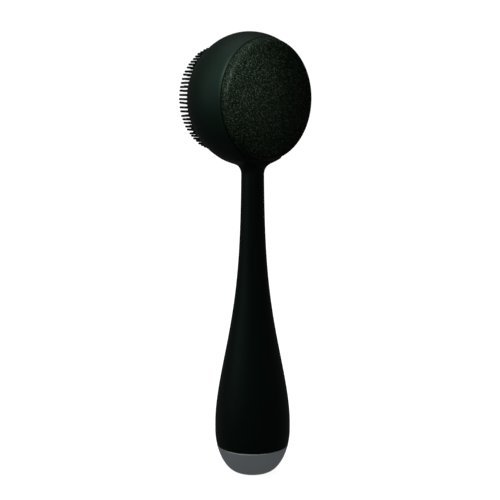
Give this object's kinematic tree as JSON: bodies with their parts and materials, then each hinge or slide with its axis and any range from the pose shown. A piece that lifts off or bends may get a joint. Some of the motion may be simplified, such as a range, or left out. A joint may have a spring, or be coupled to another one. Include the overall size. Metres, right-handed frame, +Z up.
{
  "type": "skin scrubber",
  "caption": "Hand-held facial cleansing wand: round head with a soft bristle brush on one face and a smooth massage disc on the other, on a tapering handle with a screw-off end cap.",
  "frame": {"origin": "centre of the flat foot under the end cap, on the handle's axis", "axes": "+Z up the handle towards the head, -Y the way the brush faces, +Y the way the massage disc faces"},
  "size_m": [0.0504, 0.0367, 0.1705],
  "materials": {
    "sleeve_silicone": "satin moulded silicone",
    "brush_silicone": "soft moulded silicone",
    "core_front_abs": "moulded ABS",
    "core_rear_abs": "moulded ABS",
    "screw_steel": "zinc-plated steel",
    "disc_finish": "dark pearl finish with fine grain",
    "adhesive": "acrylic foam tape",
    "motor_steel": "nickel-plated steel",
    "bell_plastic": "moulded nylon",
    "magnet": "sintered magnet",
    "coil_copper": "enamelled copper winding",
    "shaft_steel": "ground steel",
    "weight_metal": "sintered tungsten alloy",
    "cradle_plastic": "moulded ABS",
    "clip_steel": "spring steel",
    "lead_red": "PVC insulation",
    "lead_black": "PVC insulation",
    "board_laminate": "glass-epoxy laminate",
    "chip_black": "epoxy packages",
    "switch_black": "moulded nylon",
    "plunger_plastic": "moulded nylon",
    "button_silicone": "satin silicone over a hard key",
    "tube_plastic": "moulded ABS",
    "cell_jacket": "printed film over a steel can, plain here",
    "spring_steel": "nickel-plated wire",
    "contact_nickel": "nickel-plated strip",
    "strip_nickel": "nickel-plated strip",
    "collar_brass": "turned brass",
    "seal_rubber": "nitrile O-ring",
    "plug_plastic": "moulded ABS",
    "cap_contact_nickel": "nickel-plated disc",
    "cap_gunmetal": "satin gunmetal anodising"
  },
  "bodies": {
    "handle": {"silicone_sleeve": "sleeve_silicone", "brush_pad": "brush_silicone", "core_front": "core_front_abs", "core_rear": "core_rear_abs", "core_screws": "screw_steel", "massage_disc": "disc_finish", "disc_adhesive": "adhesive", "motor_can": "motor_steel", "motor_end_bell": "bell_plastic", "motor_magnet": "magnet", "motor_cradle": "cradle_plastic", "motor_clip": "clip_steel", "motor_lead_red": "lead_red", "motor_lead_black": "lead_black", "control_board": "board_laminate", "board_parts": "chip_black", "switch_body": "switch_black", "battery_tube": "tube_plastic", "contact_spring": "spring_steel", "battery_contact": "contact_nickel", "contact_strip": "strip_nickel", "threaded_collar": "collar_brass"},
    "rotor": {"motor_shaft": "shaft_steel", "motor_coil": "coil_copper", "eccentric_weight": "weight_metal"},
    "button": {"power_button": "button_silicone", "switch_plunger": "plunger_plastic"},
    "battery": {"battery_cell": "cell_jacket"},
    "cap": {"end_cap": "cap_gunmetal", "cap_plug": "plug_plastic", "cap_contact": "cap_contact_nickel", "cap_seal": "seal_rubber"}
  },
  "joints": [
    {"name": "button_press", "type": "slide", "parent": "handle", "child": "button", "axis": [0, 1, 0], "range_m": [0, 0.0005], "stiffness_N_per_m": 300, "springref_m": -0.001},
    {"name": "motor_spin", "type": "hinge", "parent": "handle", "child": "rotor", "pos_m": [0, -0.0038, 0.1475], "axis": [0, 0, 1], "continuous": true},
    {"name": "cap_travel", "type": "slide", "parent": "handle", "child": "battery", "axis": [0, 0, -1], "range_m": [0, 0.0075], "deforming": ["contact_spring"]},
    {"name": "cap_turn", "type": "hinge", "parent": "battery", "child": "cap", "pos_m": [0, 0, 0], "axis": [0, 0, -1], "range_deg": [0, 900]}
  ],
  "couplings": [
    {"joint": "cap_turn", "follows": "cap_travel", "rad_per_m": 2094.4}
  ]
}
